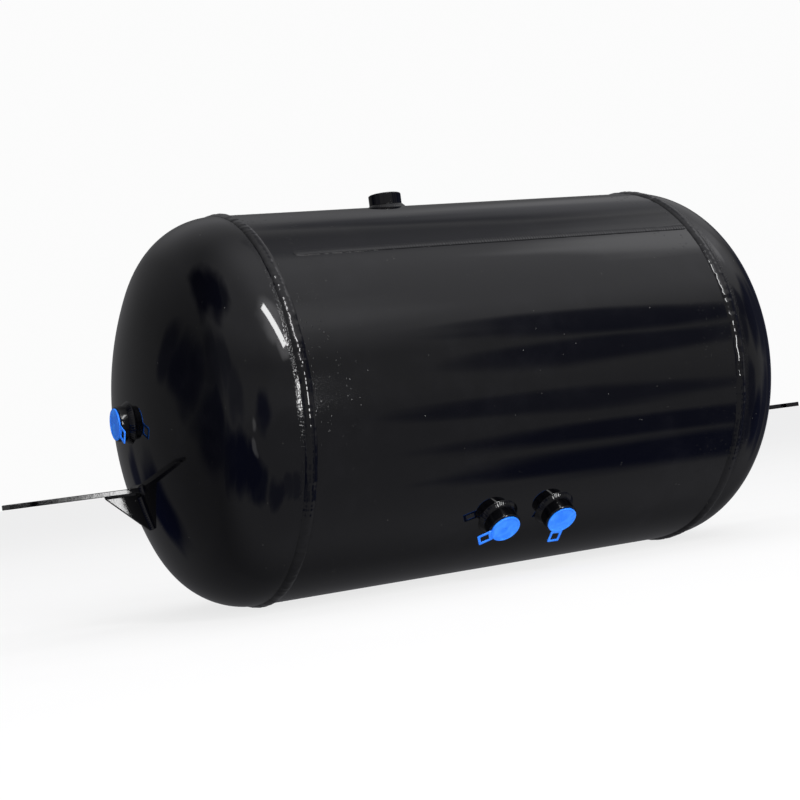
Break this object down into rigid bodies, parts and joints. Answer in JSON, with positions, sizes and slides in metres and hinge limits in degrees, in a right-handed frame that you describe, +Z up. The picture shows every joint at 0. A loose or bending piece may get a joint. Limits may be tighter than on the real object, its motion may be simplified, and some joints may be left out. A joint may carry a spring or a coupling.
{
  "type": "horizontal pressure tank",
  "caption": "Horizontal steel air receiver: welded cylinder with dished heads, threaded port bosses, push-in caps and a flat slotted bracket on each head.",
  "frame": {"origin": "on the underside of the left end bracket's plate, on its centre line, between the bolt slot and the gusset", "axes": "+X along the tank from the left bracket to the right one, +Z up with the open port on top, -Y the front, where the two lower ports are"},
  "size_m": [0.961, 0.4016, 0.4148],
  "materials": {
    "black_gloss_paint": "gloss",
    "blue_cap_plastic": "satin"
  },
  "bodies": {
    "root": {"shell": "black_gloss_paint", "left_head": "black_gloss_paint", "right_head": "black_gloss_paint", "left_girth_weld": "black_gloss_paint", "right_girth_weld": "black_gloss_paint", "seam_weld": "black_gloss_paint", "top_boss": "black_gloss_paint", "top_boss_weld": "black_gloss_paint", "front_left_boss": "black_gloss_paint", "front_left_boss_weld": "black_gloss_paint", "front_right_boss": "black_gloss_paint", "front_right_boss_weld": "black_gloss_paint", "left_head_boss": "black_gloss_paint", "left_head_boss_weld": "black_gloss_paint", "right_head_boss": "black_gloss_paint", "right_head_boss_weld": "black_gloss_paint", "left_bracket_plate": "black_gloss_paint", "right_bracket_plate": "black_gloss_paint", "left_gusset": "black_gloss_paint", "right_gusset": "black_gloss_paint", "left_plate_weld": "black_gloss_paint", "right_plate_weld": "black_gloss_paint", "left_gusset_root_weld": "black_gloss_paint", "right_gusset_root_weld": "black_gloss_paint", "left_gusset_weld": "black_gloss_paint", "right_gusset_weld": "black_gloss_paint", "front_left_cap": "blue_cap_plastic", "front_right_cap": "blue_cap_plastic", "left_head_cap": "blue_cap_plastic", "right_head_cap": "blue_cap_plastic"}
  },
  "joints": []
}
